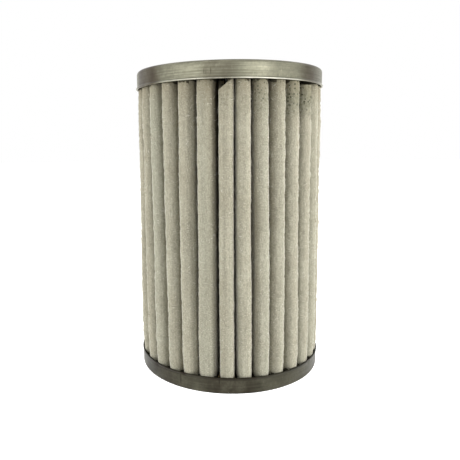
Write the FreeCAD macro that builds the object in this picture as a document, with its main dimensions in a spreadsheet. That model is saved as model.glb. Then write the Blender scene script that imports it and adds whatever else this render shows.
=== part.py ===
import FreeCAD, Part
import math
import os
import Sketcher

# Pleated felt filter element with pressed steel end caps. Millimetres, +Z up, origin at the centre of
# the base. The camera side of the element faces -Y.

SIZES = [
    ("cap_outer_diameter", 93, "outside of a cap's wall, without the lip"),
    ("cap_to_cap_height", 150, "outer face of the bottom cap to outer face of the top cap"),
    ("sheet_thickness", 0.6, "steel sheet of both caps"),
    ("skirt_height", 8, "depth of a cap, lip included"),
    ("lip_height", 1.2, "the part of the skirt that flares outward"),
    ("lip_flare", 0.5, "how far the lip stands out from the wall"),
    ("cap_edge_bevel", 0.7, "bend between a cap's face and its wall"),
    ("grommet_bore", 32, "rubber grommet, on the pipe"),
    ("grommet_wall", 4, "rubber between the bore and the edge of the port"),
    ("flange_reach", 3, "how far the flange reaches over the top cap round the port"),
    ("flange_thickness", 1.5, "the same flange"),
    ("nose_reach", 2.5, "how far the nose reaches past the port, under the sheet"),
    ("nose_taper", 3, "how much narrower the nose's tip is, on the radius"),
    ("nose_length", 6, "underside of the sheet to the tip of the nose"),
    ("nose_to_tube", 1.7, "gap between the nose and the centre tube"),
    ("tube_wall", 0.8, "sheet of the centre tube"),
    ("window_width", 4.5, "windows punched in the centre tube"),
    ("window_height", 26, "the same windows"),
    ("window_count", 6, "windows in one ring"),
    ("ring_count", 3, "rings in each of the two staggered sets"),
    ("end_margin", 6.4, "plain wall from each end of the tube to its nearest windows"),
    ("seam_width", 4, "lock seam folded to the inside of the tube"),
    ("seam_height", 0.8, "how far the lock seam stands in"),
    ("adhesive_depth", 3, "bed of adhesive in each cap"),
    ("felt_thickness", 2.3, "needled felt"),
    ("crest_inner_radius", 1.2, "inside of an outer fold"),
    ("valley_half_gap", 0.15, "half of the slit at the bottom of a valley"),
    ("root_to_root", 0.7, "least gap between neighbouring inner folds"),
    ("felt_to_cap", 0.2, "outer folds to the cap's wall"),
    ("felt_to_tube", 0.35, "inner folds to the centre tube"),
    ("first_fold_azimuth", 267.2, "degrees from +X to the outer fold beside the pack's joint"),
    ("cut_corner_depth", 7.9, "height of the corner that is cut off that fold at the top"),
    ("cut_corner_width", 8.4, "width of the same corner"),
    ("cut_corner_reach", 6, "how far into the fold the cut goes"),
    ("clip_thickness", 0.3, "tinplate strip over the pack's two ends"),
    ("clip_reach", 6, "legs of the strip, along the felt"),
]

WORKED = [
    ("wall_outer", "Sizes.cap_outer_diameter / 2"),
    ("wall_inner", "wall_outer - Sizes.sheet_thickness"),
    ("lip_outer", "wall_outer + Sizes.lip_flare"),
    ("lip_inner", "wall_inner + Sizes.lip_flare"),
    ("lip_start", "Sizes.skirt_height - Sizes.lip_height"),
    ("bore_radius", "Sizes.grommet_bore / 2"),
    ("port_radius", "bore_radius + Sizes.grommet_wall"),
    ("flange_radius", "port_radius + Sizes.flange_reach"),
    ("nose_radius", "port_radius + Sizes.nose_reach"),
    ("nose_tip_radius", "nose_radius - Sizes.nose_taper"),
    ("tube_inner", "nose_radius + Sizes.nose_to_tube"),
    ("tube_outer", "tube_inner + Sizes.tube_wall"),
    ("tube_length", "Sizes.cap_to_cap_height - 2 * Sizes.sheet_thickness"),
    ("seam_inner", "tube_inner - Sizes.seam_height"),
    ("seam_half", "Sizes.seam_width / 2"),
    ("seam_root", "(tube_inner + tube_outer) / 2"),
    ("seam_turn", "90 deg / Sizes.window_count"),
    ("half_window_step", "180 deg / Sizes.window_count"),
    ("felt_seat", "Sizes.sheet_thickness + Sizes.adhesive_depth"),
    ("felt_length", "Sizes.cap_to_cap_height - 2 * felt_seat"),
    ("sill_to_sill", "tube_length - 2 * Sizes.end_margin - Sizes.window_height"),
    ("set_offset", "sill_to_sill / (2 * Sizes.ring_count - 1)"),
    ("ring_span", "sill_to_sill - set_offset"),
    ("window_side", "Sizes.window_width / 2"),
    ("low_head", "Sizes.end_margin + Sizes.window_height"),
    ("high_sill", "Sizes.end_margin + set_offset"),
    ("high_head", "high_sill + Sizes.window_height"),
    ("crest_outer_radius", "Sizes.crest_inner_radius + Sizes.felt_thickness"),
    ("crest_centre", "wall_inner - Sizes.felt_to_cap - crest_outer_radius"),
    ("root_radius", "Sizes.valley_half_gap + Sizes.felt_thickness"),
    ("root_centre", "tube_outer + Sizes.felt_to_tube + root_radius"),
    ("fold_pitch", "2 * root_radius + Sizes.root_to_root"),
    ("fold_count", "floor(2 * pi * root_centre / fold_pitch)"),
    ("half_pitch", "180 deg / fold_count"),
    ("joint_turn", "-half_pitch"),
    ("root_centre_x", "root_centre * cos(half_pitch)"),
    ("root_centre_y", "root_centre * sin(half_pitch)"),
    ("fold_reach", "sqrt((crest_centre - root_centre_x)^2 + root_centre_y^2)"),
    ("mid_radii", "crest_outer_radius + Sizes.valley_half_gap"),
    ("fold_angle", "atan(root_centre_y / (crest_centre - root_centre_x))"),
    ("lean", "fold_angle - asin(mid_radii / fold_reach)"),
    ("crest_skin_x", "crest_centre + crest_outer_radius * sin(lean)"),
    ("crest_skin_y", "crest_outer_radius * cos(lean)"),
    ("valley_floor_x", "root_centre_x - Sizes.valley_half_gap * cos(half_pitch)"),
    ("valley_floor_y", "root_centre_y - Sizes.valley_half_gap * sin(half_pitch)"),
    ("root_tip_x", "root_centre_x - root_radius * cos(half_pitch)"),
    ("root_tip_y", "root_centre_y - root_radius * sin(half_pitch)"),
    ("root_side_angle", "(half_pitch + 90 deg - lean) / 2"),
    ("root_side_x", "root_centre_x - root_radius * cos(root_side_angle)"),
    ("root_side_y", "root_centre_y - root_radius * sin(root_side_angle)"),
    ("root_skin_x", "root_centre_x - root_radius * sin(lean)"),
    ("root_skin_y", "root_centre_y - root_radius * cos(lean)"),
    ("inside_skin_x", "crest_centre + Sizes.crest_inner_radius * sin(lean)"),
    ("inside_skin_y", "Sizes.crest_inner_radius * cos(lean)"),
    ("inside_facet_x", "crest_centre + Sizes.crest_inner_radius * cos(45 deg - lean / 2)"),
    ("inside_facet_y", "Sizes.crest_inner_radius * sin(45 deg - lean / 2)"),
    ("clip_opening", "half_pitch + lean"),
    ("clip_foot_x", "root_centre - root_radius * sin(clip_opening)"),
    ("clip_foot_y", "root_radius * cos(clip_opening)"),
    ("clip_end_x", "clip_foot_x + Sizes.clip_reach * cos(clip_opening)"),
    ("clip_end_y", "clip_foot_y + Sizes.clip_reach * sin(clip_opening)"),
    ("clip_back_radius", "root_radius + Sizes.clip_thickness"),
    ("clip_back_foot_x", "clip_foot_x - Sizes.clip_thickness * sin(clip_opening)"),
    ("clip_back_foot_y", "clip_foot_y + Sizes.clip_thickness * cos(clip_opening)"),
    ("clip_back_end_x", "clip_end_x - Sizes.clip_thickness * sin(clip_opening)"),
    ("clip_back_end_y", "clip_end_y + Sizes.clip_thickness * cos(clip_opening)"),
    ("fold_azimuth", "Sizes.first_fold_azimuth * 1 deg"),
    ("joint_azimuth", "fold_azimuth - half_pitch"),
    ("cut_corner_side", "-crest_outer_radius"),
    ("cut_corner_far_side", "cut_corner_side + Sizes.cut_corner_width"),
    ("cut_corner_foot", "felt_length - Sizes.cut_corner_depth"),
    ("cut_corner_floor", "crest_centre + crest_outer_radius - Sizes.cut_corner_reach"),
    ("groove_end", "Sizes.flange_thickness + Sizes.sheet_thickness"),
    ("grommet_length", "groove_end + Sizes.nose_length"),
    ("top_of_flange", "Sizes.cap_to_cap_height + Sizes.flange_thickness"),
    ("top_of_adhesive", "Sizes.cap_to_cap_height - Sizes.sheet_thickness"),
]

SAME = 1e-4  # lengths and volumes nearer than this are equal

doc = FreeCAD.newDocument("oil_filter_element")
home = {}  # the sheet that holds each name


def fill_sheet(name, rows):
    """A sheet with one row for each name, its value or formula, and what it means."""
    sheet = doc.addObject("Spreadsheet::Sheet", name)
    for row, (alias, content, *remark) in enumerate(rows, start=1):
        sheet.set(f"A{row}", alias)
        sheet.set(f"B{row}", f"={content}" if isinstance(content, str) else str(content))
        sheet.set(f"C{row}", remark[0] if remark else "")
        sheet.setAlias(f"B{row}", alias)
        home[alias] = sheet
    return sheet


def formula(name):
    """The text that binds a size to its cell; a minus sign may lead the name."""
    sign = "-" if name.startswith("-") else ""
    alias = name.lstrip("-")
    return f"{sign}{home[alias].Name}.{alias}"


def value(name):
    """The number in that cell."""
    if name == "0":
        return 0.0
    alias = name.lstrip("-")
    cell = home[alias].get(alias)
    number = float(getattr(cell, "Value", cell))
    return -number if name.startswith("-") else number


def bind(feature, **sizes):
    for what, name in sizes.items():
        feature.setExpression(what, formula(name))


def new_body(name):
    body = doc.addObject("PartDesign::Body", name)
    body.Label = name
    return body


def datum(body, role):
    return next(item for item in body.Origin.OriginFeatures if item.Role == role)


def new_sketch(body, name, role, turn=None, turned_about=FreeCAD.Vector(0, 0, 1), out=None):
    """A sketch on one of the body's own planes, turned or moved off it by sizes of the sheets."""
    sketch = body.newObject("Sketcher::SketchObject", name)
    sketch.AttachmentSupport = (datum(body, role), [""])
    sketch.MapMode = "FlatFace"
    if turn:
        sketch.AttachmentOffset = FreeCAD.Placement(
            FreeCAD.Vector(), FreeCAD.Rotation(turned_about, value(turn))
        )
        sketch.setExpression("AttachmentOffset.Rotation.Angle", formula(turn))
    if out:
        sketch.setExpression("AttachmentOffset.Base.z", formula(out))
    return sketch


def constrain(sketch, *terms, size=None):
    index = sketch.addConstraint(Sketcher.Constraint(*terms))
    if size:
        sketch.setExpression(f"Constraints[{index}]", formula(size))


def hold(sketch, edge, end, across, up):
    """Put one end of an edge at the place whose coordinates are named."""
    if across == "0":
        constrain(sketch, "PointOnObject", edge, end, -2)
    else:
        constrain(sketch, "DistanceX", edge, end, value(across), size=across)
    if up == "0":
        constrain(sketch, "PointOnObject", edge, end, -1)
    else:
        constrain(sketch, "DistanceY", edge, end, value(up), size=up)


def arc_between(start, end, centre, radius, turn):
    """The arc from start to end about centre, anticlockwise where turn is 1 and clockwise where -1."""
    circle = Part.Circle(centre, FreeCAD.Vector(0, 0, 1), radius)
    first, last = (start, end) if turn > 0 else (end, start)
    angles = [math.atan2(point.y - centre.y, point.x - centre.x) for point in (first, last)]
    return Part.ArcOfCircle(circle, *angles)


def outline(sketch, corners, arcs=None):
    """A closed outline through corners named by their coordinates; edges listed in arcs are round."""
    arcs = arcs or {}
    points = [FreeCAD.Vector(value(across), value(up), 0) for across, up in corners]
    ends = []
    for edge, start in enumerate(points):
        end = points[(edge + 1) % len(points)]
        if edge in arcs:
            across, up, radius, turn = arcs[edge]
            centre = FreeCAD.Vector(value(across), value(up), 0)
            sketch.addGeometry(arc_between(start, end, centre, value(radius), turn), False)
            ends.append((1, 2) if turn > 0 else (2, 1))
        else:
            sketch.addGeometry(Part.LineSegment(start, end), False)
            ends.append((1, 2))
    for edge, (first, last) in enumerate(ends):
        following = (edge + 1) % len(ends)
        constrain(sketch, "Coincident", edge, last, following, ends[following][0])
        hold(sketch, edge, first, *corners[edge])
        if edge in arcs:
            constrain(sketch, "Radius", edge, value(arcs[edge][2]), size=arcs[edge][2])


def circle(sketch, radius, up="0"):
    """A circle whose centre is on the sketch's upright axis."""
    centre = FreeCAD.Vector(0, value(up), 0)
    edge = sketch.addGeometry(Part.Circle(centre, FreeCAD.Vector(0, 0, 1), value(radius)), False)
    hold(sketch, edge, 3, "0", up)
    constrain(sketch, "Radius", edge, value(radius), size=radius)


def revolve(body, name, corners):
    sketch = new_sketch(body, f"{name}_section", "XZ_Plane")
    outline(sketch, corners)
    turned = body.newObject("PartDesign::Revolution", name)
    turned.Profile = sketch
    turned.ReferenceAxis = (sketch, ["V_Axis"])
    turned.Angle = 360
    doc.recompute()
    return turned


def pad(body, name, sketch, length):
    raised = body.newObject("PartDesign::Pad", name)
    raised.Profile = sketch
    bind(raised, Length=length)
    doc.recompute()
    return raised


def pocket(body, name, sketch, length=None, reverse=False):
    """Cut the sketch out of the body, and make sure that something went."""
    before = body.Shape.Volume
    cut = body.newObject("PartDesign::Pocket", name)
    cut.Profile = sketch
    cut.Reversed = reverse
    if length:
        bind(cut, Length=length)
    else:
        cut.Type = "ThroughAll"
    doc.recompute()
    if cut.Shape.Volume > before - SAME:
        raise RuntimeError(f"{name} cuts nothing")
    return cut


def bevel(body, name, base, size, radius, height):
    """Bevel the circular edge of a feature that has that radius and height."""
    found = [
        f"Edge{number}"
        for number, edge in enumerate(base.Shape.Edges, start=1)
        if isinstance(edge.Curve, Part.Circle)
        and abs(edge.Curve.Radius - value(radius)) < SAME
        and abs(edge.Curve.Center.z - value(height)) < SAME
    ]
    if len(found) != 1:
        raise RuntimeError(f"{base.Name} has {len(found)} edges where one is to be bevelled")
    cut = body.newObject("PartDesign::Chamfer", name)
    cut.Base = (base, found)
    bind(cut, Size=size)
    doc.recompute()


def place(body, height="0", azimuth=None, upside_down=False):
    """Stand a finished body at its height, turned to its azimuth or face down."""
    turned = FreeCAD.Rotation(FreeCAD.Vector(0, 0, 1), value(azimuth) if azimuth else 0)
    if upside_down:
        turned = FreeCAD.Rotation(FreeCAD.Vector(1, 0, 0), 180)
    body.Placement = FreeCAD.Placement(FreeCAD.Vector(0, 0, value(height)), turned)
    if height != "0":
        body.setExpression("Placement.Base.z", formula(height))
    if azimuth:
        body.setExpression("Placement.Rotation.Angle", formula(azimuth))


def end_cap(name, inner_edge):
    """Stamped cap, skirt upward, with a flared lip; its face reaches in to the edge that is named."""
    body = new_body(name)
    section = [
        (inner_edge, "0"),
        ("wall_outer", "0"),
        ("wall_outer", "lip_start"),
        ("lip_outer", "skirt_height"),
        ("lip_inner", "skirt_height"),
        ("wall_inner", "lip_start"),
        ("wall_inner", "sheet_thickness"),
        (inner_edge, "sheet_thickness"),
    ]
    pressed = revolve(body, f"{name}_pressing", section)
    bevel(body, f"{name}_bend", pressed, "cap_edge_bevel", "wall_outer", "0")
    return body


def window_set(body, name, sill, head, turn=None):
    """One ring of windows through the tube's wall, repeated up the tube and round it."""
    sketch = new_sketch(body, f"{name}_outline", "XZ_Plane", turn, FreeCAD.Vector(0, 1, 0))
    sides = [
        ("-window_side", sill),
        ("window_side", sill),
        ("window_side", head),
        ("-window_side", head),
    ]
    outline(sketch, sides)
    punched = pocket(body, f"{name}_punched", sketch, "tube_outer")
    pattern = body.newObject("PartDesign::MultiTransform", name)
    pattern.Originals = [punched]
    rings = body.newObject("PartDesign::LinearPattern", f"{name}_rings")
    rings.Direction = (sketch, ["V_Axis"])
    bind(rings, Length="ring_span", Occurrences="ring_count")
    around = body.newObject("PartDesign::PolarPattern", f"{name}_around")
    around.Axis = (datum(body, "Z_Axis"), [""])
    around.Angle = 360
    bind(around, Occurrences="window_count")
    pattern.Transformations = [rings, around]
    body.Tip = pattern
    doc.recompute()


def centre_tube():
    """Rolled tube: its lock seam is folded in, and its rings of windows are staggered."""
    body = new_body("centre_tube")
    section = new_sketch(body, "tube_section", "XY_Plane")
    circle(section, "tube_outer")
    circle(section, "tube_inner")
    pad(body, "tube_wall_sheet", section, "tube_length")
    seam = new_sketch(body, "lock_seam_section", "XY_Plane", "seam_turn")
    fold = [
        ("seam_inner", "-seam_half"),
        ("seam_root", "-seam_half"),
        ("seam_root", "seam_half"),
        ("seam_inner", "seam_half"),
    ]
    outline(seam, fold)
    pad(body, "lock_seam", seam, "tube_length")
    window_set(body, "low_windows", "end_margin", "low_head")
    window_set(body, "high_windows", "high_sill", "high_head", "half_window_step")
    place(body, "sheet_thickness")


def pleated_felt():
    """One fold of the felt, repeated round the pack, then parted at the joint."""
    body = new_body("pleated_felt")
    upper = [
        ("crest_skin_x", "crest_skin_y"),
        ("valley_floor_x", "valley_floor_y"),
        ("root_tip_x", "root_tip_y"),
        ("root_side_x", "root_side_y"),
        ("root_skin_x", "root_skin_y"),
        ("inside_skin_x", "inside_skin_y"),
        ("inside_facet_x", "inside_facet_y"),
    ]
    lower = [(across, f"-{up}") for across, up in reversed(upper)]
    crest = len(upper) + len(lower) - 1
    section = new_sketch(body, "fold_section", "XY_Plane")
    outline(section, upper + lower, {crest: ("crest_centre", "0", "crest_outer_radius", 1)})
    fold = pad(body, "fold", section, "felt_length")
    folds = body.newObject("PartDesign::PolarPattern", "folds")
    folds.Originals = [fold]
    folds.Axis = (datum(body, "Z_Axis"), [""])
    folds.Angle = 360
    bind(folds, Occurrences="fold_count")
    body.Tip = folds
    doc.recompute()
    joint = new_sketch(body, "joint_slit", "XY_Plane", "joint_turn")
    slit = [
        ("tube_outer", "-valley_half_gap"),
        ("root_centre", "-valley_half_gap"),
        ("root_centre", "valley_half_gap"),
        ("tube_outer", "valley_half_gap"),
    ]
    outline(joint, slit)
    pocket(body, "parted_at_joint", joint, reverse=True)
    corner = new_sketch(body, "cut_corner_outline", "YZ_Plane", out="cut_corner_floor")
    triangle = [
        ("cut_corner_side", "cut_corner_foot"),
        ("cut_corner_far_side", "felt_length"),
        ("cut_corner_side", "felt_length"),
    ]
    outline(corner, triangle)
    pocket(body, "cut_corner", corner, "cut_corner_reach", reverse=True)
    place(body, "felt_seat", "fold_azimuth")


def felt_joint_clip():
    """Strip folded to a U over the two ends of the felt, at the inner fold where the pack is parted."""
    body = new_body("felt_joint_clip")
    section = new_sketch(body, "clip_section", "XY_Plane")
    corners = [
        ("clip_foot_x", "clip_foot_y"),
        ("clip_end_x", "clip_end_y"),
        ("clip_back_end_x", "clip_back_end_y"),
        ("clip_back_foot_x", "clip_back_foot_y"),
        ("clip_back_foot_x", "-clip_back_foot_y"),
        ("clip_back_end_x", "-clip_back_end_y"),
        ("clip_end_x", "-clip_end_y"),
        ("clip_foot_x", "-clip_foot_y"),
    ]
    arcs = {
        3: ("root_centre", "0", "clip_back_radius", 1),
        7: ("root_centre", "0", "root_radius", -1),
    }
    outline(section, corners, arcs)
    pad(body, "strip", section, "felt_length")
    place(body, "felt_seat", "joint_azimuth")


def adhesive_bed(name, upside_down=False):
    """Ring of set adhesive between the centre tube and the cap's wall."""
    body = new_body(name)
    section = new_sketch(body, f"{name}_section", "XY_Plane")
    circle(section, "wall_inner")
    circle(section, "tube_outer")
    pad(body, f"{name}_bed", section, "adhesive_depth")
    place(body, "top_of_adhesive" if upside_down else "sheet_thickness", upside_down=upside_down)


def port_grommet():
    """Rubber grommet snapped into the port: the sheet's edge sits in its groove."""
    body = new_body("port_grommet")
    corners = [
        ("bore_radius", "0"),
        ("flange_radius", "0"),
        ("flange_radius", "flange_thickness"),
        ("port_radius", "flange_thickness"),
        ("port_radius", "groove_end"),
        ("nose_radius", "groove_end"),
        ("nose_tip_radius", "grommet_length"),
        ("bore_radius", "grommet_length"),
    ]
    revolve(body, "grommet_ring", corners)
    place(body, "top_of_flange", upside_down=True)


def check(items):
    """Stop where a feature failed or a finished body isn't one sound solid."""
    for item in doc.Objects:
        if {"Invalid", "Error"} & set(item.State):
            raise RuntimeError(f"{item.Name} is {item.State}")
    for item in items:
        if item.Shape.isNull() or not item.Shape.isValid() or len(item.Shape.Solids) != 1:
            raise RuntimeError(f"{item.Label} isn't one sound solid")


fill_sheet("Sizes", SIZES)
fill_sheet("Worked", WORKED)
doc.recompute()

end_cap("bottom_end_cap", "0")
place(end_cap("top_end_cap", "port_radius"), "cap_to_cap_height", upside_down=True)
centre_tube()
pleated_felt()
felt_joint_clip()
adhesive_bed("bottom_adhesive")
adhesive_bed("top_adhesive", upside_down=True)
port_grommet()
doc.recompute()

bodies = [item for item in doc.Objects if item.TypeId == "PartDesign::Body"]
check(bodies)
os.makedirs("parts", exist_ok=True)
for item in bodies:
    item.Shape.exportStep(f"parts/{item.Label}.step")
    print(f"{item.Label}: {item.Shape.Volume:.1f} cubic mm")
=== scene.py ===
import math
import random

import bmesh
import bpy
from mathutils import Matrix, Vector, noise


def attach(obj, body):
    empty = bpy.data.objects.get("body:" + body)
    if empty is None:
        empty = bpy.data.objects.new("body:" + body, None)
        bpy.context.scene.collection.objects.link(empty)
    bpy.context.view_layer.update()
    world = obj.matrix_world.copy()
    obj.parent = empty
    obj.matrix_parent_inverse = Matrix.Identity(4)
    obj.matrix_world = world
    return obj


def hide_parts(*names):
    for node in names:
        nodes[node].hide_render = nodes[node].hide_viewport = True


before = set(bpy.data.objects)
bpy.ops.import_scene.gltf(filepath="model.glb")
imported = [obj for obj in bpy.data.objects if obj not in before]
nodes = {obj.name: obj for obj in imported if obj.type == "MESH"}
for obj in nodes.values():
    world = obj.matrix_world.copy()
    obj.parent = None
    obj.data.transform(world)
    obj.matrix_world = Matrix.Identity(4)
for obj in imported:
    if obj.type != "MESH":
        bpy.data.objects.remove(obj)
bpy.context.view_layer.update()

MM = 0.001

# End caps, in mm. Heights are measured from a cap's face, along its wall.
WALL_RADIUS = 46.5
SHEET = 0.6
SKIRT = 8.0
LIP_RADIUS = {"top": 47.0, "bottom": 46.75}
HEIGHT = 150.0
PORT_RADIUS = 20.0
# Where the wall starts to flare, and where the flare ends at the lip.
FLARE_START, FLARE_END = 7.05, 7.4
# What lies further out than this is wall or lip.
WALL_FROM = WALL_RADIUS - 2
# How far the walls are out of round, and what makes the two caps differ in it.
OUT_OF_ROUND = 0.12
BOTTOM_WAVES, TOP_WAVES = 3.0, 9.0
# Dents: azimuth in degrees, then height, half width, half height and depth in mm.
TOP_DENTS = [
    (254.6, 145, 0.5, 1.4, 0.12),
    (258.9, 145, 0.5, 1.7, 0.12),
    (264.5, 146.6, 0.5, 1.0, 0.1),
]
BOTTOM_DENTS = [
    (242.7, 7.4, 0.9, 1.0, 0.3),
    (221, 7.5, 1.0, 1.0, 0.3),
    (328, 7.5, 1.1, 1.0, 0.3),
]
# Where the upper lip hangs lower: azimuth and width in degrees, and drop in mm.
TOP_DROOPS = [(197, 34, 0.7), (350, 22, 0.35)]
# Spun pieces: steps round, and the longest upright edge in mm.
ROUND_STEPS = 288
GROMMET_STEPS = 192
LONGEST_EDGE = 1.0

# Grommet, in mm.
GROMMET_BORE = 16.0
GROMMET_TOP = 151.5
GROMMET_FOOT = 143.4
NOSE_TIP_RADIUS = 19.5
NOSE_RADIUS = 22.5
FLANGE_RADIUS = 23.0

# Pleated felt, in mm and degrees.
FOLDS = 31
PITCH = 360 / FOLDS
FIRST_FOLD = 267.2
FELT = 2.3
FELT_BOTTOM = 3.6
FELT_TOP = 146.4
OUTER_REACH = 45.7
ROOT_CENTRE = 27.8
VALLEY_RADIUS = 0.15
CREST_RADIUS = 3.45
CREST_STEPS, FLANK_STEPS, ROOT_STEPS = 12, 2, 2
OUTER_LEVELS, INNER_LEVELS = 146, 6
# The strip laid flat, in metres.
# The pleat beside the joint on the left is wide and turns under; the first fold has the cut corner.
WIDE_FOLD = FOLDS - 1

# How far each fold in view stands from its even place, in degrees at the bottom, the middle and the top.
FOLD_SHIFTS = {
    -9: (-0.4, -0.6, -0.8),
    -8: (-0.6, -1.0, -1.6),
    -7: (-0.8, -1.4, -2.2),
    -6: (-0.8, -1.6, -2.6),
    -5: (1.2, 0.0, -1.8),
    -4: (1.4, 0.1, -2.2),
    -3: (2.0, 0.6, -1.3),
    -2: (1.4, 0.3, -0.2),
    -1: (0.9, 0.9, 0.7),
    0: (1.8, 1.4, 1.4),
    1: (1.0, 0.0, -0.5),
    2: (0.5, -0.2, -1.8),
    3: (-0.8, -1.2, -1.8),
    4: (-0.1, -1.9, -2.2),
    5: (0.4, -1.2, -0.7),
    6: (0.6, -0.3, -0.2),
}
# Outer radius of the crests that aren't of the usual size, in mm.
FOLD_RADII = {
    -6: 3.65, -5: 3.85, -4: 4.0, -3: 3.87, -2: 3.78, -1: 3.95, 0: 3.32, 1: 3.3,
    2: 3.42, 3: 3.75, 4: 3.92, 5: 3.87, 6: 3.75, 7: 3.65,
}
# How far the crests bulge out between the caps, in mm: height and bulge.
BULGE = [
    (7.2, 0.05), (8.0, 0.32), (13, 0.66), (24, 0.82), (40, 0.85),
    (75, 0.65), (112, 0.45), (130, 0.4), (142, 0.2), (142.9, 0.0),
]
# Where the strip's upper edge is short, in mm: the cut corner at the joint with its slope, the short crest,
# and the crest beside it, which is short from part of the way round.
CUT_FOLD, SHORT_FOLD, SLOPED_FOLD = 0, 5, 4
CORNER_DROP, CORNER_SLOPE = 6.4, 2.55
SHORT_DROP = 5.6
SLOPED_FROM, SLOPED_DROP, SLOPE = 0.35, 4.2, 3.4
# Lumps of the felt in mm: broad ones, smaller ones, and the jitter of single points.
BROAD_LUMPS, SMALL_LUMPS, JITTER = 0.25, 0.46, 0.16
FELT_SEED = 31
# Loose fibres on the crests: how many, and their shortest, longest and radius in mm.
LOOSE_FIBRES = 4000
FIBRE_LENGTHS = (0.6, 1.7)
FIBRE_RADIUS = 0.03
FIBRE_SEED = 7

# Darker patches on the caps' walls, partly stains and partly painted shade for darker reflections: azimuth
# in degrees, height and size in mm, and how strong.
TOP_STAINS_AND_SHADE = [
    (264.5, 146, 9, 0.4),
    # These two broad patches are painted shade for the darker reflections towards the wall's ends.
    (213, 146, 15, 1.0),
    (325, 145, 12, 0.7),
    (222, 142.2, 6, 0.4),
    (207, 142.2, 6, 0.4),
    (326, 142.2, 6, 0.6),
    (63, 146, 15, 0.7),
]
BOTTOM_STAINS_AND_SHADE = [
    (202, 8, 2.6, 1.0),
    (221, 8, 2.4, 1.0),
    (242.7, 7.9, 1.8, 1.0),
    (328, 8, 2.4, 1.0),
    (341, 8, 2.6, 1.0),
    (285, 8, 1.6, 0.9),
    # These two broad patches are painted shade over the reflection in the middle of the lower wall.
    (271, 3, 15, 0.85),
    (227, 4, 11, 0.6),
]
# Short upright scores on the walls: azimuth in degrees, height and length in mm, and how strong.
TOP_SCORES = [
    (256.9, 145.2, 1.5, 0.5),
    (258.0, 144.6, 1.3, 0.45),
    (260.6, 145.3, 1.9, 0.55),
    (265.6, 146.6, 1.0, 0.6),
    (318, 144.5, 1.2, 0.5),
]
BOTTOM_SCORES = [(240.5, 4.6, 3.4, 0.45), (264.5, 6.2, 1.8, 0.6), (264.5, 4.0, 2.6, 0.25)]
# Smudged crests under the upper cap, and the height in mm from which the smudges grow.
SMUDGES = {0: 0.2, 1: 0.16, 2: 0.5, 3: 0.1, 4: 0.85, 5: 0.95}
SMUDGES_FROM = 124
# Heights in mm of the lines of painted shadow under the caps' lips, and from which the felt gets painted
# shade and a band of painted shadow under the upper lip.
UPPER_LIP_SHADOW, LOWER_LIP_SHADOW = 142.1, 6.5
UNDER_LIP = 141.7
# Brown specks on the crests, in mm: place and size.
SPECKS = [
    ((-1.9, -45.5, 114.6), 0.55),
    ((-0.4, -45.6, 57.6), 0.5),
    ((-3.2, -45.2, 53.1), 0.5),
    ((-10.0, -44.2, 40.6), 0.5),
]


def round_section(corners):
    """Points of a closed section; each corner is (radius from the axis, height, rounding)."""
    points = []
    for i, (r, z, rounding) in enumerate(corners):
        here = Vector((r, z))
        if not rounding:
            points.append(here)
            continue
        before = Vector(corners[i - 1][:2]) - here
        after = Vector(corners[(i + 1) % len(corners)][:2]) - here
        half = before.angle(after) / 2
        reach = rounding / math.tan(half)
        start = here + before.normalized() * reach
        end = here + after.normalized() * reach
        middle = (before.normalized() + after.normalized()).normalized()
        centre = here + middle * (rounding / math.sin(half))
        steps = 6
        for step in range(steps + 1):
            spoke = (start - centre).lerp(end - centre, step / steps)
            points.append(centre + spoke.normalized() * rounding)
    return points


def turned(corners, steps=ROUND_STEPS):
    """A ring or disc: the section is spun round the Z axis, and its long edges are divided first."""
    bm = bmesh.new()
    ring = [bm.verts.new((p.x * MM, 0, p.y * MM)) for p in round_section(corners)]
    edges = [bm.edges.new((ring[i - 1], ring[i])) for i in range(len(ring))]
    for edge in list(edges):
        rise = abs(edge.verts[0].co.z - edge.verts[1].co.z) / MM
        if rise > LONGEST_EDGE:
            bmesh.ops.subdivide_edges(bm, edges=[edge], cuts=int(rise / LONGEST_EDGE))
    bmesh.ops.spin(
        bm, geom=bm.verts[:] + bm.edges[:], cent=(0, 0, 0), axis=(0, 0, 1),
        angle=math.tau, steps=steps, use_merge=True, use_duplicate=False,
    )
    bmesh.ops.remove_doubles(bm, verts=bm.verts, dist=1e-7)
    bmesh.ops.recalc_face_normals(bm, faces=bm.faces)
    return bm


def finished(name, bm, material, smooth_angle=40):
    """An object at the origin that holds the mesh, shaded smooth but for its sharp edges."""
    mesh = bpy.data.meshes.new(name)
    bm.to_mesh(mesh)
    bm.free()
    mesh.materials.append(material)
    mesh.shade_smooth()
    mesh.set_sharp_from_angle(angle=math.radians(smooth_angle))
    piece = bpy.data.objects.new(name, mesh)
    bpy.context.scene.collection.objects.link(piece)
    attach(piece, "root")
    return piece


# Materials


def add(tree, kind, inputs=None, **settings):
    """A node with its settings and its inputs, which are values or sockets of other nodes."""
    node = tree.nodes.new(kind)
    for key, setting in settings.items():
        setattr(node, key, setting)
    for key, given in (inputs or {}).items():
        if isinstance(given, bpy.types.NodeSocket):
            tree.links.new(given, node.inputs[key])
        else:
            node.inputs[key].default_value = given
    return node


def maths(tree, operation, *terms, clamp=False):
    """The outcome of one sum, whose terms are numbers or sockets."""
    node = add(tree, "ShaderNodeMath", dict(enumerate(terms)), operation=operation)
    node.use_clamp = clamp
    return node.outputs[0]


def ramp(tree, source, low, high, bottom=0.0, top=1.0):
    """The source brought from the range low to high into the range bottom to top, and kept in it."""
    node = add(
        tree, "ShaderNodeMapRange",
        {"Value": source, "From Min": low, "From Max": high, "To Min": bottom, "To Max": top},
    )
    return node.outputs["Result"]


def blend_colours(tree, mask, first, second):
    """The first colour where the mask is 0, and the second where it is 1."""
    node = tree.nodes.new("ShaderNodeMix")
    node.data_type = "RGBA"
    for socket, given in ((node.inputs[0], mask), (node.inputs[6], first), (node.inputs[7], second)):
        if isinstance(given, bpy.types.NodeSocket):
            tree.links.new(given, socket)
        else:
            socket.default_value = given
    return node.outputs[2]


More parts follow.
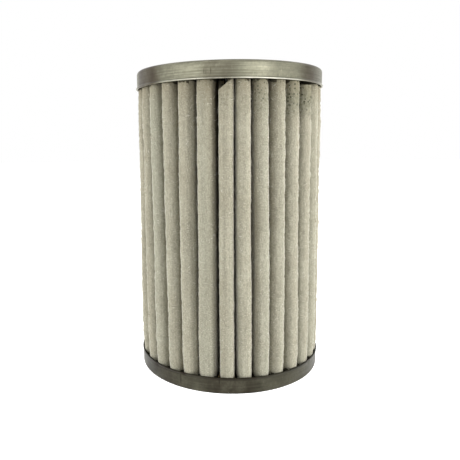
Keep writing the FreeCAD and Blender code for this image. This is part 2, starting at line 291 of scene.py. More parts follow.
def grain(tree, vector, scale, detail, roughness=0.55):
    """Noise, mostly between 0.3 and 0.7; the scale is in grains to the metre."""
    node = add(
        tree, "ShaderNodeTexNoise",
        {"Vector": vector, "Scale": scale, "Detail": detail, "Roughness": roughness},
    )
    return node.outputs["Fac"]


def stretched(tree, vector, factors):
    """The place times a factor along each axis: a small factor draws a pattern out."""
    node = add(tree, "ShaderNodeMapping", {"Vector": vector, "Scale": factors})
    return node.outputs["Vector"]


def new_group(name, takes, gives):
    """A shader node group with named inputs, which have default values, and named outputs."""
    group = bpy.data.node_groups.new(name, "ShaderNodeTree")
    for label, kind, start in takes:
        socket = group.interface.new_socket(label, in_out="INPUT", socket_type=kind)
        if start is not None:
            socket.default_value = start
    for label, kind in gives:
        group.interface.new_socket(label, in_out="OUTPUT", socket_type=kind)
    return group, group.nodes.new("NodeGroupInput"), group.nodes.new("NodeGroupOutput")


def sheet_marks_group():
    """Marks of rolled and pressed sheet: streaks, blotches and fine scratches."""
    group, takes, gives = new_group(
        "sheet_marks",
        [("Vector", "NodeSocketVector", None), ("Streaks", "NodeSocketFloat", 900.0)],
        [("Streak", "NodeSocketFloat"), ("Blotch", "NodeSocketFloat"), ("Scratch", "NodeSocketFloat")],
    )
    apart = add(group, "ShaderNodeSeparateXYZ", {0: takes.outputs["Vector"]})
    around = maths(group, "ARCTAN2", apart.outputs["Y"], apart.outputs["X"])
    flat = add(group, "ShaderNodeCombineXYZ", {"X": apart.outputs["X"], "Y": apart.outputs["Y"]})
    radius = add(group, "ShaderNodeVectorMath", {0: flat.outputs[0]}, operation="LENGTH").outputs["Value"]
    along_section = maths(group, "ADD", apart.outputs["Z"], radius)
    lengthwise = add(
        group, "ShaderNodeCombineXYZ",
        {"X": maths(group, "SINE", around), "Y": maths(group, "COSINE", around),
         "Z": maths(group, "MULTIPLY", along_section, takes.outputs["Streaks"])},
    )
    streak = grain(group, lengthwise.outputs[0], 2.2, 5.0, 0.62)
    blotch = grain(group, takes.outputs["Vector"], 75.0, 4.0, 0.6)
    nicks = stretched(group, takes.outputs["Vector"], (2400.0, 2400.0, 380.0))
    scratch = ramp(group, grain(group, nicks, 1.0, 1.0, 0.5), 0.7, 0.78)
    group.links.new(streak, gives.inputs["Streak"])
    group.links.new(blotch, gives.inputs["Blotch"])
    group.links.new(scratch, gives.inputs["Scratch"])
    return group


SHEET_MARKS = sheet_marks_group()


def new_material(name, **constants):
    """A material with its shader, whose constant sockets are set here."""
    material = bpy.data.materials.new(name)
    material.use_nodes = True
    tree = material.node_tree
    shader = tree.nodes["Principled BSDF"]
    for label, constant in constants.items():
        shader.inputs[label.replace("_", " ")].default_value = constant
    place = tree.nodes.new("ShaderNodeTexCoord").outputs["Object"]
    return material, tree, shader, place


def wall_point(azimuth, height):
    """A place on the caps' wall, in mm."""
    turn = math.radians(azimuth)
    return (WALL_RADIUS * math.cos(turn), WALL_RADIUS * math.sin(turn), height)


def spot(tree, place, point, size):
    """1 within a small spot on the surface, given by its place in mm and its size in mm."""
    apart = add(tree, "ShaderNodeVectorMath", {0: place, 1: [c * MM for c in point]}, operation="DISTANCE")
    return ramp(tree, apart.outputs["Value"], size * 0.5 * MM, size * MM, 1.0, 0.0)


def shade_of(colour, red, green, blue):
    """The colour with its parts scaled, and full alpha."""
    return (colour[0] * red, colour[1] * green, colour[2] * blue, 1)


def with_band(tree, place, patches, colour, band):
    """The colour with a patchy band round the wall: its height and half width in mm, and its colour."""
    height, half_width, band_colour = band
    up = add(tree, "ShaderNodeSeparateXYZ", {0: place}).outputs["Z"]
    off = maths(tree, "ABSOLUTE", maths(tree, "SUBTRACT", up, height * MM))
    edge = ramp(tree, off, half_width * 0.5 * MM, half_width * MM, 1.0, 0.0)
    patchy = maths(tree, "MULTIPLY", edge, ramp(tree, patches, 0.35, 0.55, 0.35, 0.95))
    return blend_colours(tree, patchy, colour, band_colour)


def with_stains_and_shade(tree, place, patches, colour, stain_and_shade, stains_and_shade):
    """The colour with darker patches on the wall, stains and painted shade, weaker where the plating is
    pale.
    """
    for azimuth, height, size, strength in stains_and_shade:
        near = spot(tree, place, wall_point(azimuth, height), size)
        patchy = maths(tree, "MULTIPLY", near, ramp(tree, patches, 0.35, 0.65, strength, strength * 0.5))
        colour = blend_colours(tree, patchy, colour, stain_and_shade)
    return colour


def with_scores(tree, place, colour, score, scores):
    """The colour with short upright scores on the wall, each a spot drawn out lengthwise."""
    slimness = 5
    slim = stretched(tree, place, (slimness, slimness, 1))
    for azimuth, height, length, strength in scores:
        x, y, z = wall_point(azimuth, height)
        near = spot(tree, slim, (slimness * x, slimness * y, z), length)
        colour = blend_colours(tree, maths(tree, "MULTIPLY", near, strength), colour, score)
    return colour


def sheet_steel(name, dark, light, rough, streaks, blotches, band=None, stains_and_shade=(), scores=()):
    """Sheet steel with rolling streaks, blotches of plating, pitting, scratches and marks on the wall."""
    material, tree, shader, place = new_material(name, Metallic=1.0)
    marks = tree.nodes.new("ShaderNodeGroup")
    marks.node_tree = SHEET_MARKS
    tree.links.new(place, marks.inputs["Vector"])
    marks.inputs["Streaks"].default_value = streaks
    patches, scratch = marks.outputs["Blotch"], marks.outputs["Scratch"]
    streak = ramp(tree, marks.outputs["Streak"], 0.3, 0.7)
    blotch = ramp(tree, patches, 0.35, 0.65, 0.0, blotches)
    mixed = maths(tree, "ADD", maths(tree, "MULTIPLY", streak, 1 - blotches), blotch, clamp=True)
    tone = blend_colours(tree, mixed, dark, light)
    pitting = ramp(tree, grain(tree, place, 900.0, 3.0, 0.65), 0.36, 0.56, 0.45, 0.0)
    tone = blend_colours(tree, pitting, tone, shade_of(light, 0.45, 0.45, 0.45))
    rubbed_through = [min(1.0, 1.7 * part) for part in light]
    tone = blend_colours(tree, maths(tree, "MULTIPLY", scratch, 0.35), tone, rubbed_through)
    if band:
        tone = with_band(tree, place, patches, tone, band)
    tone = with_stains_and_shade(tree, place, patches, tone, shade_of(dark, 0.75, 0.62, 0.62), stains_and_shade)
    tone = with_scores(tree, place, tone, shade_of(dark, 0.5, 0.42, 0.4), scores)
    tree.links.new(tone, shader.inputs["Base Color"])
    tree.links.new(ramp(tree, streak, 0, 1, rough + 0.08, rough - 0.06), shader.inputs["Roughness"])
    relief = maths(tree, "ADD", streak, maths(tree, "MULTIPLY", scratch, -1.5))
    bump = add(tree, "ShaderNodeBump", {"Height": relief, "Strength": 0.18, "Distance": 0.0001})
    tree.links.new(bump.outputs[0], shader.inputs["Normal"])
    return material


def felt_colour(tree, place, strip, mat, fibre):
    """Tones of the felt before dirt and painted shade: clouds, greener lengths of strip, darker mottling in
    the bump's hollows that is partly painted shade, thin lines and pale fibres.
    """
    cloud = ramp(tree, grain(tree, place, 60.0, 4.0, 0.6), 0.36, 0.64)
    tone = blend_colours(tree, cloud, (0.254, 0.237, 0.175, 1), (0.312, 0.299, 0.229, 1))
    lengths = grain(tree, stretched(tree, strip, (1.0, 0.04, 1.0)), 34.0, 1.0, 0.5)
    tone = blend_colours(tree, ramp(tree, lengths, 0.45, 0.62, 0.0, 0.75), tone, (0.259, 0.268, 0.209, 1))
    # Darker where the mat noise is low, which is where the bump sits low: mottling, partly painted shade in
    # the hollows.
    tone = blend_colours(tree, ramp(tree, mat, 0.38, 0.58, 0.5, 0.0), tone, (0.165, 0.154, 0.113, 1))
    lines = grain(tree, stretched(tree, strip, (1.0, 0.03, 1.0)), 800.0, 2.0)
    tone = blend_colours(tree, ramp(tree, lines, 0.4, 0.58, 0.38, 0.0), tone, (0.16, 0.152, 0.112, 1))
    return blend_colours(tree, ramp(tree, fibre, 0.5, 0.66, 0.0, 0.52), tone, (0.5, 0.48, 0.405, 1))


def painted_lip_shadow_lines(tree, place, strip):
    """1 on the uneven lines of painted shadow under the caps' lips on the strip."""
    level = add(tree, "ShaderNodeSeparateXYZ", {0: strip}).outputs["Y"]
    patches = grain(tree, place, 420.0, 2.0)
    upper = maths(
        tree, "SUBTRACT", maths(tree, "SUBTRACT", UPPER_LIP_SHADOW * MM, level),
        ramp(tree, patches, 0.5, 0.72, 0.1 * MM, 1.5 * MM),
    )
    lower = maths(
        tree, "SUBTRACT", maths(tree, "SUBTRACT", level, LOWER_LIP_SHADOW * MM),
        ramp(tree, patches, 0.5, 0.7, 0.0, 1.5 * MM),
    )
    return ramp(tree, maths(tree, "MINIMUM", upper, lower), 0.0, 0.3 * MM, 0.9, 0.0)


def brown_specks(tree, place):
    """1 on a few specks, rare ones anywhere and those of the list."""
    cells = add(tree, "ShaderNodeTexVoronoi", {"Vector": place, "Scale": 150.0, "Randomness": 1.0})
    rare = ramp(tree, grain(tree, place, 110.0, 1.0), 0.6, 0.66)
    speck = maths(tree, "MULTIPLY", ramp(tree, cells.outputs["Distance"], 0.05, 0.09, 1.0, 0.0), rare)
    for point, size in SPECKS:
        speck = maths(tree, "MAXIMUM", speck, spot(tree, place, point, size))
    return speck


def felt_material():
    """Needled felt: matted fibre, smudges with dark dots, specks, painted shade between the pleats and a
    painted sheen at the pleats' edges.

    The mesh gives the soil, which is dirt and painted shadow under the lips, and the depth, which is
    painted shade."""
    material, tree, shader, place = new_material(
        "needled_felt", Roughness=0.95, Specular_IOR_Level=0.12,
        Sheen_Roughness=0.4, Sheen_Tint=(1.0, 0.96, 0.84, 1),
    )
    strip = add(tree, "ShaderNodeUVMap", uv_map="strip").outputs[0]
    dirt_and_lip_shadow = add(tree, "ShaderNodeAttribute", attribute_name="dirt_and_lip_shadow").outputs["Fac"]
    depth = add(tree, "ShaderNodeAttribute", attribute_name="depth").outputs["Fac"]
    fibre = grain(tree, stretched(tree, strip, (1.0, 0.75, 1.0)), 2100.0, 3.0, 0.7)
    mat = grain(tree, stretched(tree, strip, (1.0, 0.5, 1.0)), 950.0, 4.0, 0.62)
    tone = felt_colour(tree, place, strip, mat, fibre)
    # The smudge tint darkens smudges of dirt and paints shadow in a band under each lip; the dark dots
    # below follow it too.
    smudge = maths(tree, "MULTIPLY", dirt_and_lip_shadow, ramp(tree, mat, 0.35, 0.55, 0.9, 0.5))
    tone = blend_colours(tree, smudge, tone, (0.108, 0.115, 0.079, 1))
    # Painted shade: darker and browner by the depth attribute, between the pleats, under the upper lip and
    # where the wide pleat turns under.
    tone = blend_colours(tree, maths(tree, "MULTIPLY", depth, 0.6), tone, (0.15, 0.122, 0.076, 1))
    # Painted shadow: dark uneven lines under the caps' lips.
    line = painted_lip_shadow_lines(tree, place, strip)
    tone = blend_colours(tree, line, tone, (0.03, 0.026, 0.017, 1))
    cells = add(tree, "ShaderNodeTexVoronoi", {"Vector": place, "Scale": 700.0, "Randomness": 1.0})
    dots = maths(tree, "MULTIPLY", ramp(tree, cells.outputs["Distance"], 0.22, 0.38, 1.0, 0.0), dirt_and_lip_shadow)
    tone = blend_colours(tree, dots, tone, (0.042, 0.042, 0.027, 1))
    # Dirt, painted shadow and painted shade together; the sheen and the painted sheen fade where they are
    # high.
    dirt_and_shade = maths(tree, "MAXIMUM", depth, maths(tree, "MAXIMUM", dirt_and_lip_shadow, line))
    free_of_dirt_and_shade = maths(tree, "SUBTRACT", 1.0, dirt_and_shade)
    # Painted sheen: the colour turns pale at grazing angles where the fibre noise is high, for lit fibres
    # at the pleats' edges.
    facing = add(tree, "ShaderNodeLayerWeight", {"Blend": 0.5}).outputs["Facing"]
    painted_sheen = maths(
        tree, "MULTIPLY", ramp(tree, facing, 0.5, 0.85), ramp(tree, fibre, 0.53, 0.62, 0.0, 0.75),
    )
    tone = blend_colours(tree, maths(tree, "MULTIPLY", painted_sheen, free_of_dirt_and_shade), tone, (0.72, 0.7, 0.6, 1))
    speck = maths(tree, "MULTIPLY", brown_specks(tree, place), 0.75)
    tone = blend_colours(tree, speck, tone, (0.09, 0.06, 0.035, 1))
    tree.links.new(tone, shader.inputs["Base Color"])
    fuzz = maths(tree, "MULTIPLY", free_of_dirt_and_shade, ramp(tree, fibre, 0.42, 0.6, 0.5, 1.0))
    tree.links.new(fuzz, shader.inputs["Sheen Weight"])
    relief = maths(tree, "ADD", maths(tree, "MULTIPLY", mat, 0.8), maths(tree, "MULTIPLY", fibre, 0.7))
    bump = add(tree, "ShaderNodeBump", {"Height": relief, "Strength": 0.6, "Distance": 0.0006})
    tree.links.new(bump.outputs[0], shader.inputs["Normal"])
    return material


def plain_finish(name, dark, light, scale, rough, bump_height):
    """A moulded or poured finish: two close tones, uneven gloss and a slight texture."""
    material, tree, shader, place = new_material(name)
    cloud = grain(tree, place, scale, 4.0)
    fine = grain(tree, place, scale * 9, 2.0)
    tone = blend_colours(tree, ramp(tree, cloud, 0.35, 0.65), dark, light)
    tree.links.new(tone, shader.inputs["Base Color"])
    tree.links.new(ramp(tree, cloud, 0.3, 0.7, rough - 0.08, rough + 0.08), shader.inputs["Roughness"])
    bump = add(tree, "ShaderNodeBump", {"Height": fine, "Strength": 0.3, "Distance": bump_height})
    tree.links.new(bump.outputs[0], shader.inputs["Normal"])
    return material


felt = felt_material()
fibre_finish = plain_finish(
    "loose_fibre", (0.4, 0.38, 0.31, 1), (0.72, 0.71, 0.64, 1), 500.0, 0.85, 0.00002,
)
cap_steel = sheet_steel(
    "cap_steel", (0.11, 0.107, 0.075, 1), (0.37, 0.361, 0.268, 1), 0.38, 800.0, 0.35,
    # The pale band along the upper lip is a painted highlight of the lip's bright edge.
    band=(142.3, 0.36, (0.56, 0.55, 0.47, 1)), stains_and_shade=TOP_STAINS_AND_SHADE, scores=TOP_SCORES,
)
# The lower cap is the same steel as the upper one, painted much darker: painted shade and darker
# reflections.
cap_steel_in_shade = sheet_steel(
    "dark_cap_steel", (0.024, 0.0225, 0.016, 1), (0.09, 0.0862, 0.0625, 1), 0.45, 600.0, 0.7,
    # The dark band round the lower lip is painted shadow under its flare.
    band=(7.5, 1.0, (0.03, 0.028, 0.02, 1)), stains_and_shade=BOTTOM_STAINS_AND_SHADE, scores=BOTTOM_SCORES,
)
tube_steel = sheet_steel("tube_steel", (0.42, 0.42, 0.4, 1), (0.58, 0.58, 0.55, 1), 0.38, 300.0, 0.8)
tinplate = sheet_steel("tinplate", (0.55, 0.55, 0.53, 1), (0.7, 0.7, 0.68, 1), 0.25, 600.0, 0.5)
adhesive = plain_finish("set_adhesive", (0.42, 0.3, 0.14, 1), (0.56, 0.42, 0.22, 1), 120.0, 0.45, 0.0002)
rubber = plain_finish(
    "nitrile_rubber", (0.018, 0.018, 0.018, 1), (0.032, 0.032, 0.03, 1), 160.0, 0.55, 0.00006,
)

for node, material in (
    ("centre_tube", tube_steel),
    ("felt_joint_clip", tinplate),
    ("bottom_adhesive", adhesive),
    ("top_adhesive", adhesive),
):
    nodes[node].data.materials.clear()
    nodes[node].data.materials.append(material)


# Pressed caps and the rubber grommet


def cap_corners(inner, bend, lip):
    """Section of a cap from its face: the bend, the wall, and the lip flared out at the skirt's edge."""
    return [
        (inner, 0, 0),
        (WALL_RADIUS, 0, bend),
        (WALL_RADIUS, FLARE_START, 0.4),
        (lip, FLARE_END, 0.12),
        (lip, SKIRT, 0.2),
        (lip - SHEET, SKIRT, 0.2),
        (WALL_RADIUS - SHEET, FLARE_START + 0.1, 0.4),
        (WALL_RADIUS - SHEET, SHEET, bend - SHEET if bend > SHEET else 0.1),
        (inner, SHEET, 0),
    ]


def dent(bm, azimuth, height, wide, tall, depth):
    """Push the wall in round a place; azimuth in degrees, the rest in mm."""
    turn = math.radians(azimuth)
    for vert in bm.verts:
        radius = math.hypot(vert.co.x, vert.co.y)
        if radius < WALL_FROM * MM:
            continue
        along = math.remainder(math.atan2(vert.co.y, vert.co.x) - turn, math.tau) * radius / MM
        up = vert.co.z / MM - height
        push = depth * math.exp(-((along / wide) ** 2) - ((up / tall) ** 2))
        if push > 1e-4:
            scale = 1 - push * MM / radius
            vert.co.x *= scale
            vert.co.y *= scale


def ripple(bm, seed):
    """A pressed wall isn't quite round: it goes in a little here and there."""
    for vert in bm.verts:
        radius = math.hypot(vert.co.x, vert.co.y)
        if radius > WALL_FROM * MM:
            wave = noise.noise(Vector((vert.co.x * 60, vert.co.y * 60, seed + vert.co.z * 40)))
            push = OUT_OF_ROUND * (0.5 + 0.5 * wave)
            vert.co.x *= 1 - push * MM / radius
            vert.co.y *= 1 - push * MM / radius


def droop(bm, azimuth, wide, drop):
    """The upper cap's lip hangs lower round a place; azimuth and width in degrees, drop in mm."""
    for vert in bm.verts:
        deep = min(1.0, max(0.0, (HEIGHT - 3 - vert.co.z / MM) / 5))
        off = math.remainder(math.degrees(math.atan2(vert.co.y, vert.co.x)) - azimuth, 360)
        vert.co.z -= drop * MM * deep * math.exp(-((off / wide) ** 2))


def make_caps():
    """Both caps; the upper one is made face down and turned over."""
    bottom = turned(cap_corners(0.0, 0.9, LIP_RADIUS["bottom"]))
    ripple(bottom, BOTTOM_WAVES)
    for mark in BOTTOM_DENTS:
        dent(bottom, *mark)
    piece = finished("bottom_cap", bottom, cap_steel_in_shade)
    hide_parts("bottom_end_cap")

    top = turned(cap_corners(PORT_RADIUS, 1.5, LIP_RADIUS["top"]))
    bmesh.ops.rotate(top, verts=top.verts, cent=(0, 0, 0), matrix=Matrix.Rotation(math.pi, 3, "X"))
    bmesh.ops.translate(top, verts=top.verts, vec=(0, 0, HEIGHT * MM))
    ripple(top, TOP_WAVES)
    for mark in TOP_DENTS:
        dent(top, *mark)
    for low_place in TOP_DROOPS:
        droop(top, *low_place)
    piece = finished("top_cap", top, cap_steel)
    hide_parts("top_end_cap")


def make_grommet():
    """The rubber ring, whose groove holds the port's edge."""
    corners = [
        (GROMMET_BORE, GROMMET_TOP, 0.5),
        (GROMMET_BORE, GROMMET_FOOT, 0.5),
        (NOSE_TIP_RADIUS, GROMMET_FOOT, 0.7),
        (NOSE_RADIUS, HEIGHT - SHEET, 0.4),
        (PORT_RADIUS, HEIGHT - SHEET, 0),
        (PORT_RADIUS, HEIGHT, 0),
        (FLANGE_RADIUS, HEIGHT, 0.15),
        (FLANGE_RADIUS, GROMMET_TOP, 0.6),
    ]
    piece = finished("grommet", turned(corners, GROMMET_STEPS), rubber)
    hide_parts("port_grommet")


# The folded felt


def from_joint(fold):
    """The fold's number counted from the joint: folds to the joint's left are below zero."""
    return fold if fold <= FOLDS // 2 else fold - FOLDS


def fold_shift(fold, share, drift):
    """Degrees that the fold stands from its even place, at a share of its height."""
    low, middle, high = FOLD_SHIFTS.get(from_joint(fold), drift[fold])
    if share < 0.5:
        return low + (middle - low) * share * 2
    return middle + (high - middle) * (share - 0.5) * 2


def fold_radius(fold):
    """Outer radius of the fold's crest, in mm."""
    return FOLD_RADII.get(from_joint(fold), CREST_RADIUS)


def polar(radius, degrees):
    """A place in the plan, from its radius and its azimuth."""
    turn = math.radians(degrees)
    return Vector((radius * math.cos(turn), radius * math.sin(turn)))


def pointing(turn):
    """The direction in the plan at an angle in radians."""
    return Vector((math.cos(turn), math.sin(turn)))


def same_turn(angle, near):
    """The angle, with whole turns added or taken off, so that it lies within half a turn of another."""
    return near + math.remainder(angle - near, math.tau)


def tangent_turn(crest, root, radii, side):
    """Direction, as an angle, of the skin's normal where a flank joins its crest."""
    way = root - crest
    spread = math.acos(min(1.0, radii / way.length))
    return math.atan2(way.y, way.x) - side * spread


def arc(centre, radius, start, end, steps):
    """Points and outward normals of the felt along an arc, its first point left out."""
    made = []
    for step in range(1, steps + 1):
        turn = start + (end - start) * step / steps
        normal = pointing(turn)
        made.append((centre + normal * radius, normal))
    return made


def flank(start, end, normal, fold, side):
    """Points of a straight flank: up to the crest on its right side, -1, and down on its left side, 1."""
    made = []
    for step in range(1, FLANK_STEPS + 1):
        share = step / FLANK_STEPS
        made.append((start.lerp(end, share), normal, fold, side, share if side < 0 else 1 - share))
    return made


def root_places(fold, angles):
    """Azimuths of the roots on the fold's right and left: between its neighbours and the even places."""
    before = angles[fold - 1] - (360 if fold == 0 else 0)
    after = angles[(fold + 1) % FOLDS] + (360 if fold == FOLDS - 1 else 0)
    even = FIRST_FOLD + PITCH * fold
    right = ((before + angles[fold]) / 2 + even - PITCH / 2) / 2
    left = ((after + angles[fold]) / 2 + even + PITCH / 2) / 2
    return right, left


def fold_path(fold, angles, outside):
    """One fold of a skin, from the root on its right over the crest to the root on its left."""
    radius = fold_radius(fold)
    crest = polar(OUTER_REACH - radius, angles[fold])
    right, left = root_places(fold, angles)
    entry, leave = polar(ROOT_CENTRE, right), polar(ROOT_CENTRE, left)
    crest_skin = radius if outside else radius - FELT
    root_skin = VALLEY_RADIUS if outside else VALLEY_RADIUS + FELT
    heading = math.radians(angles[fold])
    first = same_turn(tangent_turn(crest, entry, radius + VALLEY_RADIUS, -1), heading)
    last = same_turn(tangent_turn(crest, leave, radius + VALLEY_RADIUS, 1), heading)
    start, end = math.radians(right) + math.pi, math.radians(left) + math.pi
    rise, fall = same_turn(first + math.pi, start), same_turn(last + math.pi, end)
    path = []
    if fold == 0:
        path.append((entry + pointing(start) * root_skin, -pointing(start), fold, -1.0, 0.0))
    for point, normal in arc(entry, root_skin, start, rise, ROOT_STEPS):
        path.append((point, -normal, fold, -1.0, 0.0))
    path += flank(path[-1][0], crest + pointing(first) * crest_skin, pointing(first), fold, -1.0)
    for i, (point, normal) in enumerate(arc(crest, crest_skin, first, last, CREST_STEPS), 1):
        path.append((point, normal, fold, 2 * i / CREST_STEPS - 1, 1.0))
    path += flank(path[-1][0], leave + pointing(fall) * root_skin, pointing(last), fold, 1.0)
    for point, normal in arc(leave, root_skin, fall, end, ROOT_STEPS):
        path.append((point, -normal, fold, 1.0, 0.0))
    return path


def skin_path(share, outside, drift):
    """The strip's skin at one height, from the joint round the pack and back to it.

    Each entry is the place in mm, the outward normal, the fold, how far round its crest from -1 to 1,
    and how far out from the root at 0 to the crest at 1."""
    angles = [FIRST_FOLD + PITCH * k + fold_shift(k, share, drift) for k in range(FOLDS)]
    path = []
    for fold in range(FOLDS):
        path += fold_path(fold, angles, outside)
    return path


def top_edge(fold, around, outness):
    """Height of the strip's upper edge: whole but for a cut corner and two short crests."""
    near_crest = outness >= 0.66
    sideways = math.sin(around * math.pi / 2)
    if near_crest and fold == CUT_FOLD and sideways < 0.8:
        return FELT_TOP - CORNER_DROP + CORNER_SLOPE * sideways
    if near_crest and fold == SHORT_FOLD:
        return FELT_TOP - SHORT_DROP
    if near_crest and fold == SLOPED_FOLD and around > SLOPED_FROM:
        return FELT_TOP - SLOPED_DROP - SLOPE * (around - SLOPED_FROM)
    return FELT_TOP


def uneven(point, z):
    """Lumps of the felt, in mm along its normal."""
    slow = noise.noise(Vector((point.x * 0.09, point.y * 0.09, z * 0.045)))
    quick = noise.noise(Vector((point.x * 0.4, point.y * 0.4, z * 0.22 + 40)))
    fine = noise.noise(Vector((point.x * 0.9, point.y * 0.9, z * 0.7 + 80)))
    return BROAD_LUMPS * slow + SMALL_LUMPS * (0.45 * quick + 0.55 * fine)


def bulged(point, z):
    """The point moved out as far as the pack bulges at that height; the roots stay."""
    swell = 0.0
    for (low, start), (high, end) in zip(BULGE, BULGE[1:]):
        if low <= z <= high:
            swell = start + (end - start) * (z - low) / (high - low)
    share = max(0.0, (point.length - ROOT_CENTRE) / (OUTER_REACH - ROOT_CENTRE))
    return point * (1 + swell * share / point.length)


def dirt_and_lip_shadow_at(fold, z, outness):
    """Dirt and painted shadow on the felt: a band of painted shadow against each cap, strongest under the
    upper one, and smudges high up, strong on some folds and faint on all.
    """
    band = 0.6 * math.exp(-max(0.0, UNDER_LIP - z) / 0.7) + 0.15 * math.exp(-max(0.0, z - SKIRT) / 0.7)
    high = min(1.0, max(0.0, (z - SMUDGES_FROM) / 10))
    return min(1.0, band + (SMUDGES.get(fold, 0.0) * outness + 0.09) * high)


def turned_under(z, around, outness):
    """How far the wide pleat beside the joint falls away on its right side, in mm."""
    return 1.5 * max(0.0, around) ** 1.5 * outness * (0.4 + 0.6 * z / HEIGHT)


def painted_shade_at(fold, z, around, outness):
    """How much painted shade the felt gets: more between the pleats, under the upper lip, and where a pleat
    turns under.
    """
    below = max(0.0, UNDER_LIP - z)
    painted_shade = 1 - outness + 0.28 * math.exp(-below / 40) + 0.52 * math.exp(-((below / 6.5) ** 2))
    if fold == WIDE_FOLD:
        # Painted shade on the wide pleat's right side, where it turns under.
        painted_shade += 0.9 * max(0.0, around + 0.1) * z / HEIGHT
    return min(1.0, painted_shade)


def make_fuzz(crests):
    """Loose fibres that stand off the crests, given as places and their outward directions."""
    picker = random.Random(FIBRE_SEED)
    line = bpy.data.curves.new("loose_fibres", "CURVE")
    line.dimensions = "3D"
    line.bevel_depth = FIBRE_RADIUS * MM
    line.bevel_resolution = 0
    line.use_fill_caps = True
    for _ in range(LOOSE_FIBRES):
        place, out = picker.choice(crests)
        slope = picker.uniform(-1.4, 1.4)
        along = Vector((-out.y * math.cos(slope), out.x * math.cos(slope), math.sin(slope)))
        length = picker.uniform(*FIBRE_LENGTHS) * MM
        lift = picker.uniform(0.1, 0.55) * length
        thickness = picker.choice((0.8, 1.0, 1.0, 1.3, 2.1))
        spline = line.splines.new("POLY")
        spline.points.add(3)
        for step, point in enumerate(spline.points):
            share = step / 3
            at = place + along * length * (share - 0.5) + out * lift * math.sin(2.6 * share)
            point.co = (*at, 1)
            point.radius = thickness * (1 - 0.5 * share)
    loose = bpy.data.objects.new("loose_fibres", line)
    bpy.context.scene.collection.objects.link(loose)
    mesh = bpy.data.meshes.new_from_object(loose.evaluated_get(bpy.context.evaluated_depsgraph_get()))
    bpy.data.objects.remove(loose)
    bpy.data.curves.remove(line)
    bm = bmesh.new()
    bm.from_mesh(mesh)
    bpy.data.meshes.remove(mesh)
    piece = finished("felt_fuzz", bm, fibre_finish)
    return piece


def random_drift(picker):
    """Where folds out of view stand, in degrees from the even place at the bottom, middle and top."""
    drift = []
    for _ in range(FOLDS):
        middle = picker.uniform(-0.5, 0.5)
        lean = picker.uniform(-0.4, 0.4)
        drift.append((middle - lean, middle, middle + lean))
    return drift


def lumpy(point, normal, z, around, outness, picker):
    """The point moved by the felt's lumps, which are smaller near the caps and beside the crests."""
    free = min(1.0, max(0.15, min(z - SKIRT, HEIGHT - SKIRT - z) / 5))
    lump = uneven(point, z) + picker.uniform(-JITTER, JITTER)
    beside = 1 - 0.5 * min(1.0, max(0.0, abs(around) - 0.6) / 0.3)
    return point + normal * lump * min(1.0, outness * 1.2) * beside * free


def skin_rows(bm, outside, levels, drift, picker, along, crests):
    """The points of one skin, row by row; along and crests are filled on the way.

    along holds each point's place on the flat strip, and crests where loose fibres may stand."""
    dirt_and_lip_shadow = bm.verts.layers.float["dirt_and_lip_shadow"]
    depth = bm.verts.layers.float["depth"]
    rows = []
    for level in range(levels + 1):
        share = level / levels
        path = skin_path(share, outside, drift)
        row = []
        run = 0.0
        for i, (point, normal, fold, around, outness) in enumerate(path):
            if i:
                run += (point - path[i - 1][0]).length
            z = FELT_BOTTOM + (top_edge(fold, around, outness) - FELT_BOTTOM) * share
            if outside and 0.01 < share < 0.99:
                point = lumpy(point, normal, z, around, outness, picker)
            point = bulged(point, z)
            if fold == WIDE_FOLD:
                point -= point.normalized() * turned_under(z, around, outness)
            vert = bm.verts.new((point.x * MM, point.y * MM, z * MM))
            # The inner skin gets full dirt and full painted shade.
            vert[dirt_and_lip_shadow] = dirt_and_lip_shadow_at(fold, z, outness) if outside else 1.0
            vert[depth] = painted_shade_at(fold, z, around, outness) if outside else 1.0
            along[vert] = (run * MM, z * MM)
            row.append(vert)
            if outside and outness == 1.0 and abs(around) > 0.3 and SKIRT + 1 < z < HEIGHT - SKIRT - 1:
                crests.append((vert.co.copy(), Vector((normal.x, normal.y, 0))))
        rows.append(row)
    return rows


def close_strip(bm, outer, inner):
    """The faces of both skins, the strip's upper and lower edges, and its two ends at the joint."""
    last = len(outer[0]) - 1
    for rows, turn in ((outer, 1), (inner, -1)):
        for low, high in zip(rows, rows[1:]):
            for i in range(last):
                corners = [low[i], low[i + 1], high[i + 1], high[i]]
                bm.faces.new(corners[::turn])
    for i in range(last):
        bm.faces.new([outer[-1][i], outer[-1][i + 1], inner[-1][i + 1], inner[-1][i]])
        bm.faces.new([inner[0][i], inner[0][i + 1], outer[0][i + 1], outer[0][i]])
    bm.faces.new([row[0] for row in outer] + [row[0] for row in reversed(inner)])
    bm.faces.new([row[last] for row in inner] + [row[last] for row in reversed(outer)])
    bmesh.ops.triangulate(bm, faces=[face for face in bm.faces if len(face.verts) > 4])


def make_felt():
    """The strip with its inner and outer skin, and the loose fibres on it."""
    picker = random.Random(FELT_SEED)
    drift = random_drift(picker)
    bm = bmesh.new()
    strip = bm.loops.layers.uv.new("strip")
    # Per point: dirt with painted shadow under the lips, and painted shade.
    bm.verts.layers.float.new("dirt_and_lip_shadow")
    bm.verts.layers.float.new("depth")
    along = {}
    crests = []
    outer = skin_rows(bm, True, OUTER_LEVELS, drift, picker, along, crests)
    inner = skin_rows(bm, False, INNER_LEVELS, drift, picker, along, crests)
    close_strip(bm, outer, inner)
    for face in bm.faces:
        for loop in face.loops:
            loop[strip].uv = along[loop.vert]
    bmesh.ops.recalc_face_normals(bm, faces=bm.faces)
    piece = finished("felt_pack", bm, felt, 60)
    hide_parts("pleated_felt")
    fuzz = make_fuzz(crests)


make_caps()
make_grommet()
make_felt()


# Floor, light and camera


def seen_directly(tree):
    """1 for what the camera sees straight, or in metal or glass."""
    path = tree.nodes.new("ShaderNodeLightPath")
    both = maths(tree, "MAXIMUM", path.outputs["Is Camera Ray"], path.outputs["Is Glossy Ray"])
    return maths(tree, "MAXIMUM", both, path.outputs["Is Transmission Ray"])


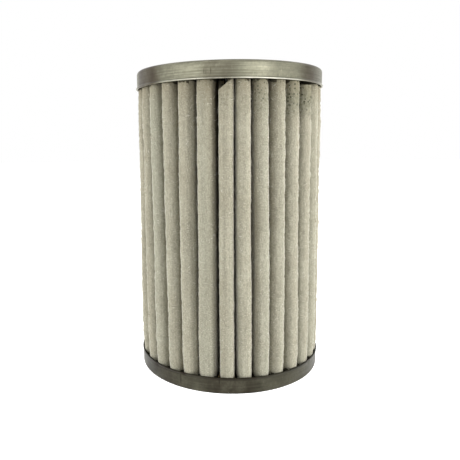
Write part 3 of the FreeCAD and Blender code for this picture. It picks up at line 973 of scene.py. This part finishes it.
def make_floor():
    """A round white floor, which keeps the piece's shadow."""
    bm = bmesh.new()
    bmesh.ops.create_circle(bm, cap_ends=True, segments=96, radius=3.0)
    mesh = bpy.data.meshes.new("floor")
    bm.to_mesh(mesh)
    bm.free()
    floor = bpy.data.objects.new("floor", mesh)
    bpy.context.scene.collection.objects.link(floor)
    material = bpy.data.materials.new("white_floor")
    material.use_nodes = True
    tree = material.node_tree
    shader = tree.nodes["Principled BSDF"]
    shader.inputs["Base Color"].default_value = (0.86, 0.86, 0.86, 1)
    shader.inputs["Roughness"].default_value = 0.9
    shader.inputs["Specular IOR Level"].default_value = 0.1
    shader.inputs["Emission Color"].default_value = (1, 1, 1, 1)
    tree.links.new(maths(tree, "MULTIPLY", seen_directly(tree), 0.85), shader.inputs["Emission Strength"])
    mesh.materials.append(material)


def make_world(strength):
    """A pale room that lights the piece by its strength, and shows white behind it."""
    world = bpy.data.worlds.new("pale_room")
    bpy.context.scene.world = world
    world.use_nodes = True
    tree = world.node_tree
    tree.nodes.clear()
    room = add(tree, "ShaderNodeBackground", {"Color": (1, 0.99, 0.97, 1), "Strength": strength})
    white = add(tree, "ShaderNodeBackground", {"Color": (1, 1, 1, 1), "Strength": 1.0})
    mix = add(
        tree, "ShaderNodeMixShader", {0: seen_directly(tree), 1: room.outputs[0], 2: white.outputs[0]},
    )
    out = tree.nodes.new("ShaderNodeOutputWorld")
    tree.links.new(mix.outputs[0], out.inputs["Surface"])


def make_lamp(name, azimuth, height, size, power, in_metal=True):
    """A soft box a metre away; azimuth in degrees to the right of the camera's side, height in degrees.

    Its size is in metres and its power in watts. Metal mirrors it only if it is in_metal."""
    turn, rise = math.radians(azimuth), math.radians(height)
    aim = Vector((0, 0, 0.08))
    away = Vector((math.sin(turn) * math.cos(rise), -math.cos(turn) * math.cos(rise), math.sin(rise)))
    lamp = bpy.data.lights.new(name, "AREA")
    lamp.shape = "RECTANGLE"
    lamp.size, lamp.size_y = size
    lamp.energy = power
    lamp_object = bpy.data.objects.new(name, lamp)
    lamp_object.location = aim + away
    lamp_object.visible_glossy = in_metal
    lamp_object.rotation_euler = (-away).to_track_quat("-Z", "Y").to_euler()
    bpy.context.scene.collection.objects.link(lamp_object)


def make_camera():
    """The photograph's view: its lens, the way it looks in radians, and its place in metres."""
    camera = bpy.data.cameras.new("camera")
    camera.sensor_width = 36
    camera.lens = 40.291
    camera.shift_x = 0.0633
    camera.shift_y = -0.0304
    camera.clip_start = 0.01
    camera_object = bpy.data.objects.new("camera", camera)
    pitch, yaw, roll = 0.1419, -0.0546, -0.0091
    place = (0, -0.27017, 0.11523)
    aim = Matrix.Rotation(-yaw, 3, "Z") @ Matrix.Rotation(math.pi / 2 - pitch, 3, "X")
    look = aim @ Matrix.Rotation(roll, 3, "Z")
    camera_object.matrix_world = Matrix.Translation(place) @ look.to_4x4()
    bpy.context.scene.collection.objects.link(camera_object)
    bpy.context.scene.camera = camera_object


make_floor()
make_world(strength=0.35)
make_lamp("left_box", -70, 15, (0.4, 0.8), 11.8, in_metal=False)
make_lamp("right_box", 68, 12, (0.4, 0.8), 17.5, in_metal=False)
make_lamp("left_window", -41, 12, (0.42, 0.7), 1.5)
make_lamp("right_window", 33, 12, (0.35, 0.7), 1.9)
make_lamp("top_box", -8, 62, (0.9, 0.5), 1.4)
make_lamp("back_box", 170, 30, (1.2, 0.7), 9.0, in_metal=False)
make_camera()
bpy.context.scene.view_settings.view_transform = "Standard"
